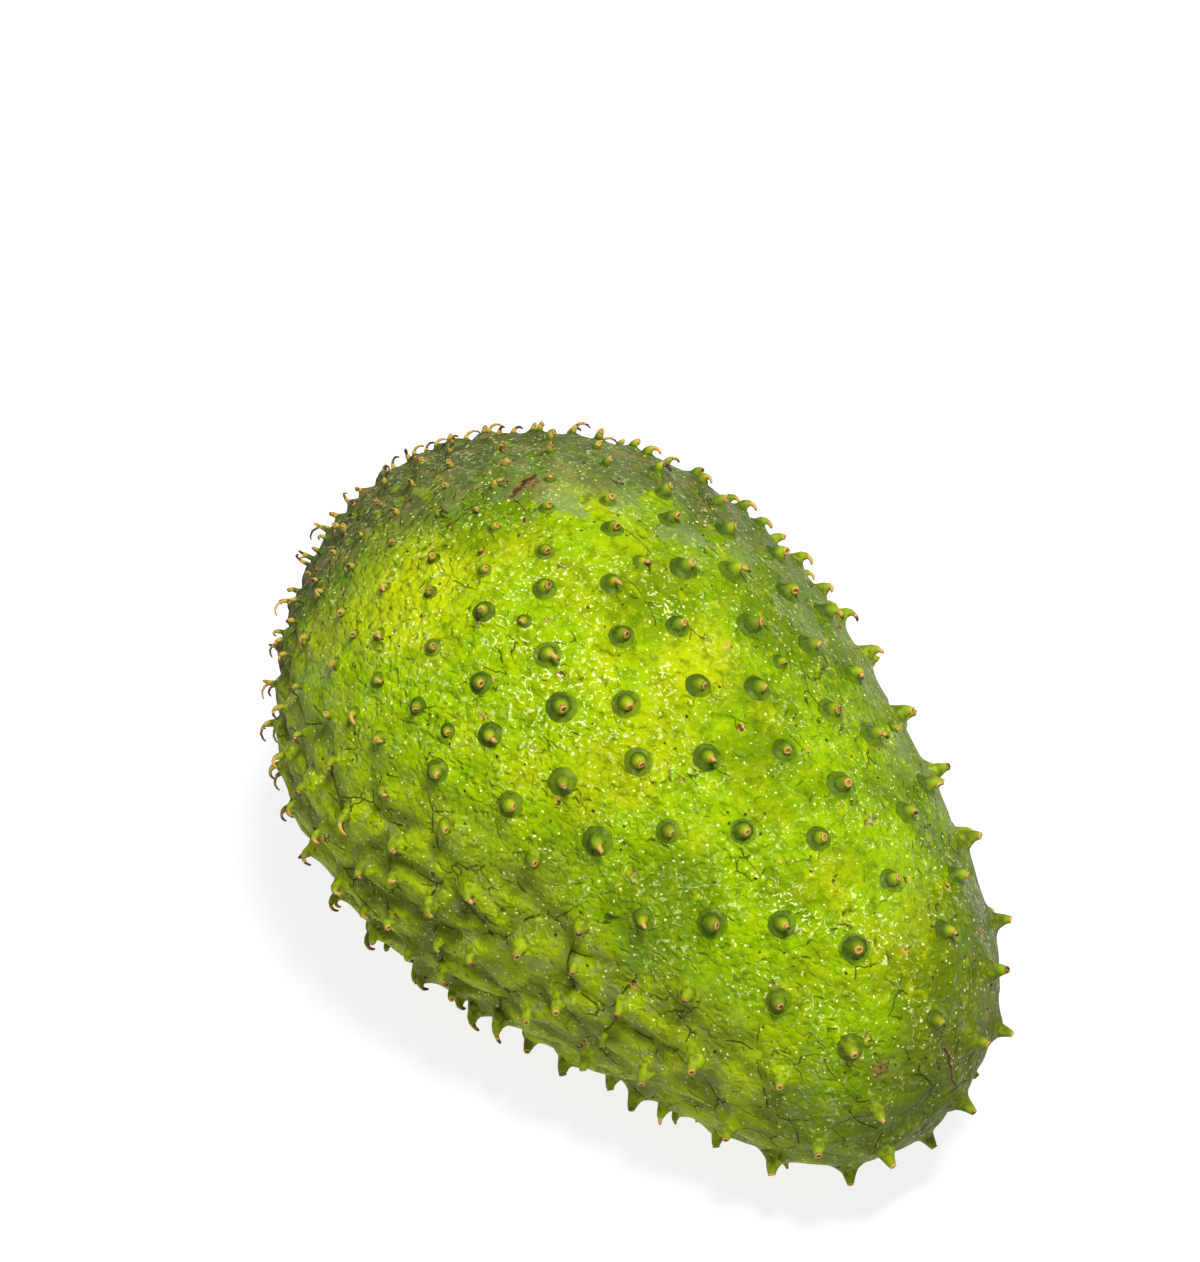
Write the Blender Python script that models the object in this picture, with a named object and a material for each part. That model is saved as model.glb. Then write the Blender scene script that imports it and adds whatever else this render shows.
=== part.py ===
"""A whole soursop, as picked, lying on its side. One solid, because the fruit grew in one piece.

The fruit is first laid out on a unit sphere, where a direction stands for a place on the skin.
Its long axis runs along X, from the stalk end at -1 to the blossom end at +1. body_point() and
to_rest() then carry a direction to its real place on the resting fruit, in metres, with +Z up.
The origin is on the flat spot that it rests on, under its centre of mass.
"""

import math
import random

import bmesh
import bpy
import numpy as np
from mathutils import Matrix, Vector

# The body, without its spines.
HALF_LENGTH = 0.1005
HALF_WIDTH = 0.0612
HALF_HEIGHT = 0.0582
GIRTH_SERIES = (1.0, -0.343, 0.039, 0.316, 0.063)  # girth as powers of the place along the axis
SIDE_SWEEP = -0.0063  # how far each end swings to the side

# How it lies: its axis dips towards the blossom end, and its own weight presses a small flat spot.
REST_PITCH = math.radians(12.2)
LOWEST_SKIN = 0.0569  # the round body's lowest point, below its centre
FLAT_DEPTH = 0.0020  # how far the flat spot is pressed in
BODY_CENTRE = Vector((0.0085, 0.0, LOWEST_SKIN - FLAT_DEPTH))

# The spines, one to each carpel, on a golden-angle spiral round the long axis.
GOLDEN_ANGLE = math.pi * (3.0 - math.sqrt(5.0))
STALK_SPACING = 0.0086
BLOSSOM_SPACING = 0.0195
SPACING_FALL = 1.8  # above 1, most of the crowding is close to the stalk
SPACING_JITTER = 0.13
SEED = 11
SPINE_SIDES = 6
SPINE_BASE_RADIUS = 0.0032
SPINE_NECK_RADIUS = 0.0012
SPINE_NECK_HEIGHT = 0.0036
SPINE_TIP_HEIGHT = 0.0055
SPINE_HOOK = 0.0026  # how far a strong hook reaches sideways
NECK_SWAY = 0.12  # the share of it that shows at the neck
SIZE_SPREAD = (0.86, 1.12)
SIZE_LIMITS = (0.74, 1.08)  # where the spines crowd, and where they stand wide apart
FULL_SIZE_SPACING = 0.0145
HOOK_SPREAD = (0.55, 1.0)
BLOSSOM_HOOK_LOSS = 0.75  # the spines are nearly straight at the blossom end
HOOK_SWERVE = 0.45  # radians, how far a hook may turn from the blossom end's direction
MOUND_HEIGHT = 0.0007  # the skin swells a little round each spine
GROOVE_DEPTH = 0.0004  # and sinks a little between them
GROOVE_REACH = 0.006
TIP_CLEARANCE = 0.0008  # the tips stay this far above the surface below
LEAST_STAND = 0.35  # a spine pressed flatter than this, as a cosine, is left out
PRESSED_LENGTH = 0.4  # the share of its length that a flattened spine keeps

# The stalk scar, a corky stub in a shallow funnel.
FUNNEL_DEPTH = 0.0042
FUNNEL_RADIUS = 0.011
STUB_RADIUS = 0.0048
STUB_HEIGHT = 0.0034
STUB_SIDES = 10
STUB_TAPER = 0.86
COLLAR_RADIUS = 0.0072  # a ring of skin points round the stub
COLLAR_SIDES = 14

# The lattice of plain skin points between the spines.
SKIN_POINTS = 1500
SKIN_GAP = 0.0021  # from a spine's root to the nearest plain point
ROOT_ANGLE = 0.030  # a spine's root on the unit sphere, in radians, before it takes its real size

SKIN_COLOUR = (0.27, 0.46, 0.03, 1.0)
SKIN_ROUGHNESS = 0.42


def girth(along):
    return sum(factor * along**power for power, factor in enumerate(GIRTH_SERIES))


def body_point(direction):
    """The place on the smooth body for a direction, measured from the body's centre along its own axis."""
    along, side, up = direction
    radius = girth(along)
    return Vector(
        (
            HALF_LENGTH * along,
            HALF_WIDTH * side * radius + SIDE_SWEEP * along**3,
            HALF_HEIGHT * up * radius,
        )
    )


def to_rest(point):
    """From the body's own axis to the way the fruit lies."""
    return Matrix.Rotation(REST_PITCH, 3, "Y") @ point + BODY_CENTRE


def skin_frame(direction):
    """A place on the skin: where it is, its outward normal, which way the blossom end lies, and the metric.

    The metric gives, for the directions towards the blossom end and round the fruit, the unit step on
    the sphere and the length that one radian of it has on the fruit.
    """
    direction = direction.normalized()
    step = 1e-4
    onward = Vector((1, 0, 0)) - direction * direction.x
    onward = onward.normalized() if onward.length > 1e-6 else Vector((0, 1, 0))
    round_axis = direction.cross(onward)
    place = to_rest(body_point(direction))
    along = (to_rest(body_point((direction + onward * step).normalized())) - place) / step
    across = (to_rest(body_point((direction + round_axis * step).normalized())) - place) / step
    normal = along.cross(across).normalized()
    return place, normal, along.normalized(), (onward, along.length, round_axis, across.length)


def ring_direction(direction, metric, radius, angle):
    """The direction whose place lies radius away from direction's own, at an angle round it."""
    onward, along, round_axis, across = metric
    moved = onward * (radius * math.cos(angle) / along) + round_axis * (radius * math.sin(angle) / across)
    return (direction + moved).normalized()


def spacing(along):
    """How far apart the spines stand at a place along the axis."""
    return BLOSSOM_SPACING - (BLOSSOM_SPACING - STALK_SPACING) * ((1 - along) / 2) ** SPACING_FALL


def spiral_places():
    """The spiral's places along the axis, one for each spine, so that each has its own patch of skin."""
    angles = np.linspace(0, math.pi, 721)
    along = -np.cos(angles)
    radius = HALF_WIDTH * girth(along) * np.sin(angles)
    slope = np.hypot(np.gradient(HALF_LENGTH * along, angles), np.gradient(radius, angles))
    patch = math.sqrt(3) / 2 * spacing(along) ** 2
    density = 2 * math.pi * radius * slope / patch
    steps = (density[1:] + density[:-1]) / 2 * np.diff(angles)
    count = np.concatenate([[0.0], np.cumsum(steps)])
    wanted = np.arange(0.5, count[-1])
    return -np.cos(np.interp(wanted, count, angles))


def spine_sites():
    """Every spine as (direction, size, hook's share, hook's turn), from the stalk end to the blossom end."""
    draw = random.Random(SEED)
    sites = []
    for number, along in enumerate(spiral_places()):
        shift = [draw.uniform(-SPACING_JITTER, SPACING_JITTER) * spacing(along) for _ in range(2)]
        crowding = min(SIZE_LIMITS[1], max(SIZE_LIMITS[0], spacing(along) / FULL_SIZE_SPACING))
        size = draw.uniform(*SIZE_SPREAD) * crowding
        hook = draw.uniform(*HOOK_SPREAD) * (1.0 - BLOSSOM_HOOK_LOSS * math.sqrt(max(0.0, along)))
        turn = draw.gauss(0.0, HOOK_SWERVE)
        spin = number * GOLDEN_ANGLE
        across = math.sqrt(1 - along * along)
        direction = Vector((along, across * math.cos(spin), across * math.sin(spin)))
        metric = skin_frame(direction)[3]
        direction = ring_direction(direction, metric, math.hypot(*shift), math.atan2(shift[1], shift[0]))
        sites.append((direction, size, hook, turn))
    return sites


def spine_plan(direction, size, hook, turn):
    """Where a spine stands and bends, or None where the fruit's weight presses it flat.

    Its tip is kept clear of the surface below: a spine that would reach it leans outwards and is shorter.
    """
    place, normal, onward, metric = skin_frame(direction)
    bend = Matrix.Rotation(turn, 3, normal) @ onward
    lean = normal
    length = size
    room = (place.z - TIP_CLEARANCE) / (SPINE_TIP_HEIGHT * size)
    if room < -normal.z:
        outward = Vector((normal.x, normal.y, 0.0)).normalized()
        drop = max(0.0, room)
        lean = outward * math.sqrt(1 - drop * drop) + Vector((0, 0, -drop))
        bend = outward
        stand = lean.dot(normal)
        if stand < LEAST_STAND or room < 0:
            return None
        length = size * min(1.0, PRESSED_LENGTH + stand)
    neck = place + lean * (SPINE_NECK_HEIGHT * length) + bend * (NECK_SWAY * SPINE_HOOK * hook)
    tip = place + lean * (SPINE_TIP_HEIGHT * length) + bend * (SPINE_HOOK * hook * length)
    neck_radius = SPINE_NECK_RADIUS * math.sqrt(size)
    neck.z = max(neck.z, neck_radius + TIP_CLEARANCE)
    tip.z = max(tip.z, TIP_CLEARANCE)
    return {
        "direction": direction,
        "place": place,
        "metric": metric,
        "normal": normal,
        "base": SPINE_BASE_RADIUS * size,
        "neck": neck,
        "neck_radius": neck_radius,
        "axis": (tip - neck).normalized(),
        "lean": lean,
        "tip": tip,
    }


def add_spine_roots(bm, plans, places):
    """Each spine's root as a small ring of points on the sphere, with its real place kept for later."""
    roots = []
    for plan in plans:
        onward, _, round_axis, _ = plan["metric"]
        ring = []
        for k in range(SPINE_SIDES):
            turn = 2 * math.pi * (k + 0.5) / SPINE_SIDES
            small = ROOT_ANGLE * (math.cos(turn) * onward + math.sin(turn) * round_axis)
            vert = bm.verts.new((plan["direction"] + small).normalized())
            there = ring_direction(plan["direction"], plan["metric"], plan["base"], turn)
            places[vert] = to_rest(body_point(there)) + plan["normal"] * MOUND_HEIGHT
            ring.append(vert)
        roots.append(ring)
    return roots


def add_stub_root(bm, places):
    """Rings of points round the stalk's place, sunk in the funnel. Returns the innermost ring."""
    stalk = Vector((-1, 0, 0))
    _, normal, _, metric = skin_frame(stalk)
    innermost = []
    rings = ((STUB_RADIUS, STUB_SIDES), (COLLAR_RADIUS, COLLAR_SIDES), (FUNNEL_RADIUS, COLLAR_SIDES))
    for radius, count in rings:
        sunk = FUNNEL_DEPTH * 0.5 * (1 + math.cos(math.pi * radius / FUNNEL_RADIUS))
        for k in range(count):
            there = ring_direction(stalk, metric, radius, 2 * math.pi * k / count)
            vert = bm.verts.new(there)
            places[vert] = to_rest(body_point(there)) - normal * sunk
            if radius == STUB_RADIUS:
                innermost.append(vert)
    return innermost


def add_plain_skin(bm, plans, places):
    """A golden-angle lattice of points over the skin, leaving out those too near a spine or the stalk."""
    roots = [(plan["place"], plan["base"]) for plan in plans]
    stalk = to_rest(body_point((-1, 0, 0)))
    for k in range(SKIN_POINTS):
        along = 1 - 2 * (k + 0.5) / SKIN_POINTS
        across = math.sqrt(1 - along * along)
        spin = k * GOLDEN_ANGLE
        direction = Vector((along, across * math.cos(spin), across * math.sin(spin)))
        place, normal, _, _ = skin_frame(direction)
        nearest = min((place - root).length - base for root, base in roots)
        if nearest > SKIN_GAP and (place - stalk).length > FUNNEL_RADIUS + SKIN_GAP:
            vert = bm.verts.new(direction)
            places[vert] = place - normal * (GROOVE_DEPTH * min(1.0, nearest / GROOVE_REACH))


def one_face(bm, ring):
    """The faces that close a ring, whose corners all belong to it, made one."""
    inside = set(ring)
    touching = {face: None for vert in ring for face in vert.link_faces}
    faces = [face for face in touching if inside.issuperset(face.verts)]
    if len(faces) == 1:
        return faces[0]
    return bmesh.ops.dissolve_faces(bm, faces=faces)["region"][0]


def raise_spine(bm, root, plan):
    """Extrudes a spine's root to its neck, then draws the neck out to the tip."""
    lifted = bmesh.ops.extrude_discrete_faces(bm, faces=[root])["faces"][0]
    centre = lifted.calc_center_median()
    tilt = (plan["lean"] + plan["axis"]).normalized()
    turn = plan["normal"].rotation_difference(tilt).to_matrix().to_4x4()
    narrow = Matrix.Scale(plan["neck_radius"] / plan["base"], 4)
    move = Matrix.Translation(plan["neck"]) @ turn @ narrow @ Matrix.Translation(-centre)
    bmesh.ops.transform(bm, matrix=move, verts=lifted.verts[:])
    point = bmesh.ops.poke(bm, faces=[lifted])["verts"][0]
    point.co = plan["tip"]


def raise_stub(bm, ring):
    """The corky stub left where the stalk broke away."""
    lifted = bmesh.ops.extrude_discrete_faces(bm, faces=[one_face(bm, ring)])["faces"][0]
    normal = skin_frame(Vector((-1, 0, 0)))[1]
    bmesh.ops.translate(bm, vec=normal * STUB_HEIGHT, verts=lifted.verts[:])
    bmesh.ops.scale(
        bm,
        vec=(STUB_TAPER, STUB_TAPER, STUB_TAPER),
        space=Matrix.Translation(-lifted.calc_center_median()),
        verts=lifted.verts[:],
    )


def flatten_below(bm):
    """Cuts the body off at the surface it lies on and closes the cut with one flat face."""
    geometry = bm.verts[:] + bm.edges[:] + bm.faces[:]
    cut = bmesh.ops.bisect_plane(
        bm, geom=geometry, dist=1e-6, plane_co=(0, 0, 0), plane_no=(0, 0, -1), clear_outer=True
    )
    rim = [item for item in cut["geom_cut"] if isinstance(item, bmesh.types.BMEdge)]
    bmesh.ops.contextual_create(bm, geom=rim)


def standing_spines():
    """The plans of the spines that stand clear of the surface below and of the stalk's funnel."""
    stalk = to_rest(body_point((-1, 0, 0)))
    plans = [plan for plan in (spine_plan(*site) for site in spine_sites()) if plan]
    return [plan for plan in plans if (plan["place"] - stalk).length > FUNNEL_RADIUS + plan["base"]]


def fruit_mesh():
    """The whole fruit as one closed mesh."""
    plans = standing_spines()
    bm = bmesh.new()
    places = {}
    roots = add_spine_roots(bm, plans, places)
    stub_root = add_stub_root(bm, places)
    add_plain_skin(bm, plans, places)
    bmesh.ops.convex_hull(bm, input=bm.verts[:])
    for vert, place in places.items():
        vert.co = place
    for ring, plan in zip(roots, plans):
        raise_spine(bm, one_face(bm, ring), plan)
    raise_stub(bm, stub_root)
    flatten_below(bm)
    bmesh.ops.triangulate(bm, faces=bm.faces[:])
    bmesh.ops.recalc_face_normals(bm, faces=bm.faces[:])
    mesh = bpy.data.meshes.new("soursop")
    bm.to_mesh(mesh)
    bm.free()
    mesh.shade_smooth()
    mesh.set_sharp_from_angle(angle=math.radians(50))
    return mesh


def skin_material():
    material = bpy.data.materials.new("skin")
    material.use_nodes = True
    surface = material.node_tree.nodes["Principled BSDF"]
    surface.inputs["Base Color"].default_value = SKIN_COLOUR
    surface.inputs["Roughness"].default_value = SKIN_ROUGHNESS
    surface.inputs["Metallic"].default_value = 0.0
    return material


def main():
    for item in list(bpy.data.objects):
        bpy.data.objects.remove(item)
    fruit = bpy.data.objects.new("soursop", fruit_mesh())
    fruit.data.materials.append(skin_material())
    bpy.context.scene.collection.objects.link(fruit)


main()
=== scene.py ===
"""The looks of a whole soursop, as picked: its skin, green spines, dried tips and stalk scar.

Everything is in metres in the CAD model's own frame. The fruit lies on its side, with its stalk end
at -X, its blossom end at +X and its flat resting spot at the origin. The body's formula and the
spines' places are those of the CAD model, so each piece lies over the solid that it replaces.
"""

import math
import random
from types import SimpleNamespace

import bmesh
import bpy
import numpy as np
from bpy.props import FloatProperty, FloatVectorProperty, IntProperty, PointerProperty
from mathutils import Matrix, Vector, kdtree, noise


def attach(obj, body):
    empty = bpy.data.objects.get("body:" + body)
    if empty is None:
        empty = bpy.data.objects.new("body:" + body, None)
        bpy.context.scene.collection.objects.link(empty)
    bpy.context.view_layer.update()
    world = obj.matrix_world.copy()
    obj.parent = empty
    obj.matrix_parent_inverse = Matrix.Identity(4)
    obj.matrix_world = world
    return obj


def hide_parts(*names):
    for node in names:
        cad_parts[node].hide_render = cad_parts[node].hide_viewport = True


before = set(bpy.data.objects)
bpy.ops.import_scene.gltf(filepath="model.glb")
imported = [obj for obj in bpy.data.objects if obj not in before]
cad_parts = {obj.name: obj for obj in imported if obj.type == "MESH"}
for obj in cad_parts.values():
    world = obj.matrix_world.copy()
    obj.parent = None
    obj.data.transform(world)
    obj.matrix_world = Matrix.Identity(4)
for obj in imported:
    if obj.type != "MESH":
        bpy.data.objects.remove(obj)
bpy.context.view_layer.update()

bl_info = {
    "name": "Soursop",
    "version": (1, 0, 0),
    "blender": (4, 5, 0),
    "location": "3D View > Sidebar > Soursop",
    "description": "Builds a whole soursop with its skin, spines, dried tips and stalk scar",
    "category": "Add Mesh",
}

GIRTH_SERIES = (1.0, -0.343, 0.039, 0.316, 0.063)  # girth as powers of the place along the axis
GOLDEN_ANGLE = math.pi * (3.0 - math.sqrt(5.0))
SPACING_FALL = 1.8
SPACING_JITTER = 0.13
SIZE_SPREAD = (0.86, 1.12)
SIZE_LIMITS = (0.74, 1.08)
FULL_SIZE_SPACING = 0.0145
HOOK_SPREAD = (0.55, 1.0)
BLOSSOM_HOOK_LOSS = 0.75
HOOK_SWERVE = 0.45
TIP_CLEARANCE = 0.0008
LEAST_STAND = 0.35
PRESSED_LENGTH = 0.4


# ---------------------------------------------------------------- what a user can change


def length(name, default, description):
    return FloatProperty(
        name=name, description=description, default=default, unit="LENGTH", precision=4
    )


def colour(name, default, description):
    return FloatVectorProperty(
        name=name, description=description, default=default, subtype="COLOR", min=0.0, max=1.0
    )


class BodyShape(bpy.types.PropertyGroup):
    """The fruit's body and how it lies."""

    half_length: length("Half length", 0.1005, "From the middle to either end")
    half_width: length("Half width", 0.0612, "From the axis to either side")
    half_height: length("Half height", 0.0582, "From the axis to the top")
    side_sweep: length("Side sweep", -0.0063, "How far each end swings to the side")
    rest_pitch: FloatProperty(
        name="Rest pitch",
        description="How far the axis dips towards the blossom end",
        default=math.radians(12.2),
        subtype="ANGLE",
    )
    centre_ahead: length("Centre ahead", 0.0085, "The body's middle, ahead of its centre of mass")
    centre_height: length("Centre height", 0.0549, "The body's middle, above what the fruit lies on")
    divisions: IntProperty(
        name="Skin detail", description="Times the skin's faces are halved", default=7, min=3, max=7
    )


class SpineShape(bpy.types.PropertyGroup):
    """The spines, one to each carpel."""

    seed: IntProperty(name="Seed", description="Start of the random draws", default=11)
    stalk_spacing: length("Spacing at the stalk", 0.0086, "Between neighbours at the stalk end")
    blossom_spacing: length("Spacing at the blossom", 0.0195, "Between neighbours at the blossom end")
    base_radius: length("Base radius", 0.0029, "Where the spine's green disc meets the skin")
    neck_radius: length("Neck radius", 0.00066, "Where the dried tip begins")
    neck_height: length("Neck height", 0.0036, "From the skin to the neck")
    tip_height: length("Tip height", 0.0055, "From the skin to the tip")
    hook: length("Hook", 0.0026, "How far a strong hook reaches sideways")
    beak: length("Dried tip", 0.0024, "The dried tip's length along its curve")


class Finish(bpy.types.PropertyGroup):
    """The colours."""

    green: colour("Green", (0.215, 0.350, 0.001), "Most of the skin")
    deep_green: colour("Deep green", (0.095, 0.165, 0.001), "The darker clouds in the skin")
    yellow: colour("Yellow", (0.400, 0.450, 0.002), "The ripest patches")
    # Between the pads on the flanks this is painted shade; at the spines' roots it is mottling.
    olive: colour("Olive", (0.115, 0.142, 0.004), "Between the pads on the flanks")
    shoulder: colour("Shoulder", (0.058, 0.074, 0.020), "The crowded skin round the stalk")
    # Painted shade on the side turned away from the camera; random flecks on the flanks use this colour too.
    far_side: colour("Far side", (0.085, 0.130, 0.002), "The side that saw less sun")
    # Painted shade: the colour that makes the blossom end darker.
    apex_shade: colour("Nose", (0.050, 0.074, 0.001), "The dark blossom end")
    # Painted light on the pads' raised crowns.
    pad: colour("Pad", (0.310, 0.385, 0.001), "The swollen pads on the flanks")
    # Waxy bloom, and also a painted sheen of grazing reflection on the flanks.
    bloom_and_sheen: colour("Bloom", (0.120, 0.155, 0.030), "The waxy film on the flanks")
    # Waxy film, which also stands in for a painted grazing reflection on the side turned away from the camera.
    film: colour("Film", (0.152, 0.200, 0.064), "The thicker film on the side turned away")
    disc: colour("Disc", (0.036, 0.066, 0.005), "The smooth disc round each spine")
    crease: colour("Crease", (0.018, 0.026, 0.002), "Lines between the carpels and fine cracks")
    spine: colour("Spine", (0.140, 0.220, 0.004), "The green part of a spine")
    # Pale pores, and the colour of the painted glints on pores and wrinkle crests.
    pore_and_glint: colour("Pore", (0.880, 0.930, 0.440), "Pale dots all over the skin")
    tan: colour("Tan", (0.480, 0.290, 0.055), "Freshly dried tips")
    brown: colour("Brown", (0.042, 0.020, 0.006), "Old tips, specks and the deepest cork")
    cork: colour("Cork", (0.220, 0.125, 0.045), "The stalk scar and scabs")
    floor: colour("Floor", (0.220, 0.220, 0.220), "The surface below")


# ---------------------------------------------------------------- the fruit's form


def unit(vectors):
    return vectors / np.linalg.norm(vectors, axis=-1, keepdims=True)


def smooth(low, high, value):
    """0 below low, 1 above high, and an even S between them."""
    share = np.clip((value - low) / (high - low), 0, 1)
    return share * share * (3 - 2 * share)


class Fruit:
    """The smooth body: directions on a unit sphere stand for places on the skin."""

    def __init__(self, shape):
        self.half = np.array([shape.half_length, shape.half_width, shape.half_height])
        self.sweep = shape.side_sweep
        sine, cosine = math.sin(shape.rest_pitch), math.cos(shape.rest_pitch)
        self.pitch = np.array([[cosine, 0, sine], [0, 1, 0], [-sine, 0, cosine]])
        self.centre = np.array([shape.centre_ahead, 0, shape.centre_height])

    @staticmethod
    def girth(along):
        return np.polyval(GIRTH_SERIES[::-1], along)

    def own(self, direction):
        """A direction's place in the body's own axes, from its middle."""
        point = self.half * direction
        point[..., 1:] *= self.girth(direction[..., :1])
        point[..., 1] += self.sweep * direction[..., 0] ** 3
        return point

    def place(self, direction):
        return self.own(direction) @ self.pitch.T + self.centre

    def surface(self, direction):
        """The place, outward normal and way to the blossom end, with the metric of the two tangents."""
        step = 1e-4
        direction = unit(direction)
        onward = np.array([1.0, 0, 0]) - direction * direction[..., :1]
        size = np.linalg.norm(onward, axis=-1, keepdims=True)
        onward = np.where(size > 1e-6, onward / np.maximum(size, 1e-9), [0, 1.0, 0])
        sideways = np.cross(direction, onward)
        place = self.place(direction)
        along = (self.place(unit(direction + onward * step)) - place) / step
        across = (self.place(unit(direction + sideways * step)) - place) / step
        reach = (np.linalg.norm(along, axis=-1), np.linalg.norm(across, axis=-1))
        return SimpleNamespace(
            place=place,
            normal=unit(np.cross(along, across)),
            forward=unit(along),
            onward=onward,
            sideways=sideways,
            reach=reach,
        )


def spacing(along, spines):
    """How far apart the spines stand at a place along the axis."""
    crowding = ((1 - along) / 2) ** SPACING_FALL
    return spines.blossom_spacing - (spines.blossom_spacing - spines.stalk_spacing) * crowding


def spiral_places(fruit, spines):
    """The spiral's places along the axis, one for each spine, so that each has its own patch of skin."""
    angles = np.linspace(0, math.pi, 721)
    along = -np.cos(angles)
    radius = fruit.half[1] * fruit.girth(along) * np.sin(angles)
    slope = np.hypot(np.gradient(fruit.half[0] * along, angles), np.gradient(radius, angles))
    patch = math.sqrt(3) / 2 * spacing(along, spines) ** 2
    density = 2 * math.pi * radius * slope / patch
    steps = (density[1:] + density[:-1]) / 2 * np.diff(angles)
    count = np.concatenate([[0.0], np.cumsum(steps)])
    wanted = np.arange(0.5, count[-1])
    return -np.cos(np.interp(wanted, count, angles))


def spine_sites(fruit, spines):
    """The CAD model's spines as (direction, size, hook's share, hook's turn), from the stalk end on."""
    draw = random.Random(spines.seed)
    sites = []
    for number, along in enumerate(spiral_places(fruit, spines)):
        gap = spacing(along, spines)
        shift = [draw.uniform(-SPACING_JITTER, SPACING_JITTER) * gap for _ in range(2)]
        size = draw.uniform(*SIZE_SPREAD) * min(SIZE_LIMITS[1], max(SIZE_LIMITS[0], gap / FULL_SIZE_SPACING))
        hook = draw.uniform(*HOOK_SPREAD) * (1.0 - BLOSSOM_HOOK_LOSS * math.sqrt(max(0.0, along)))
        turn = draw.gauss(0.0, HOOK_SWERVE)
        spin = number * GOLDEN_ANGLE
        across = math.sqrt(1 - along * along)
        direction = np.array([along, across * math.cos(spin), across * math.sin(spin)])
        here = fruit.surface(direction)
        moved = here.onward * shift[0] / here.reach[0] + here.sideways * shift[1] / here.reach[1]
        sites.append((unit(direction + moved), size, hook, turn))
    return sites


FLANK_START = (0.70, 0.35)  # how far up the skin faces where the flanks begin and are themselves
ROOMY_SPACING = 0.0155  # where spines are as stout as they get
GIRTH_FALL = 2.2
LEAST_GIRTH = 0.50
FILLER_TRIES = 3600
FILLER_GAP = (0.60, 0.57)  # of the spacing there, from any other spine, above and on the flanks
FILLER_SIZE = ((0.55, 0.80), (0.60, 0.85))
FILLER_END = (0.35, 0.60)  # how far along the axis they are found


def filler_sites(fruit, spines, sites):
    """Small late spines in the widest gaps, more of them towards the stalk."""
    draw = random.Random(spines.seed + 1)
    taken = [fruit.place(direction) for direction, *_ in sites]
    fillers = []
    for _ in range(FILLER_TRIES):
        along = draw.uniform(-1, FILLER_END[1])
        spin = draw.uniform(0, 2 * math.pi)
        size, hook, turn = draw.random(), draw.uniform(*HOOK_SPREAD), draw.gauss(0, HOOK_SWERVE)
        across = math.sqrt(1 - along * along)
        direction = np.array([along, across * math.cos(spin), across * math.sin(spin)])
        here = fruit.surface(direction)
        flank = smooth(*FLANK_START, here.normal[2])
        gap = np.interp(flank, (0, 1), FILLER_GAP) * spacing(along, spines)
        clear = np.linalg.norm(np.array(taken) - here.place, axis=1).min() > gap
        if clear and along < np.interp(flank, (0, 1), FILLER_END):
            least, most = np.array(FILLER_SIZE).T @ (1 - flank, flank)
            taken.append(here.place)
            fillers.append((direction, least + (most - least) * size, hook, turn))
    return fillers


def stand_spine(fruit, spines, direction, size, hook, turn):
    """One spine's stand on the skin, or None where the fruit's weight presses it flat."""
    here = fruit.surface(direction)
    place, normal = Vector(here.place), Vector(here.normal)
    bend = Matrix.Rotation(turn, 3, normal) @ Vector(here.forward)
    lean = normal
    grown = size
    room = (place.z - TIP_CLEARANCE) / (spines.tip_height * size)
    if room < -normal.z:
        outward = Vector((normal.x, normal.y, 0.0)).normalized()
        drop = max(0.0, room)
        lean = outward * math.sqrt(1 - drop * drop) + Vector((0, 0, -drop))
        bend = outward
        stand = lean.dot(normal)
        if stand < LEAST_STAND or room < 0:
            return None
        grown = size * min(1.0, PRESSED_LENGTH + stand)
    roomy = min(1.0, spacing(direction[0], spines) / ROOMY_SPACING) ** GIRTH_FALL
    return SimpleNamespace(
        direction=direction,
        place=place,
        normal=normal,
        forward=Vector(here.forward),
        lean=lean,
        bend=(bend - lean * bend.dot(lean)).normalized(),
        size=size,
        grown=grown,
        wide=size * max(LEAST_GIRTH, roomy),
        hook=hook,
        pressed=lean != normal,
    )


FUNNEL_DEPTH = 0.0042
FUNNEL_RADIUS = 0.011
STUB_CLEARANCE = 0.0032
BROKEN_SHARE = ((0.40, 0.85), (0.15, 0.92))  # by how far the skin faces up
FLANK_HOOK = 0.35  # how much more the flanks' spines hook
FLANK_GROWTH = 0.04  # and how much longer they are
FLANK_SLIMNESS = 0.30
FLANK_CURL = 0.15  # how much longer the dried tips are on the flanks, behind the middle
BLUNT_HOOK = 0.35  # what is left of a hook on the blossom half of the flanks
LEAST_CURL = 0.65  # the shortest dried tip, as a share of the usual one
CROWD_START = (-0.42, -0.85)  # where along the axis the crowd round the stalk begins and is full
CROWD_CURL = 0.80  # how much longer the dried tips are there
CROWD_SLIMNESS = 0.25
SHORT_BEAK = 0.50  # how much shorter the dried tips are at the blossom end
BLOSSOM_BROKEN = 0.60  # and how many more of them have broken off
FLANK_LIFT = 0.0012  # how far the flanks' spines are carried out by their broad roots


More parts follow.
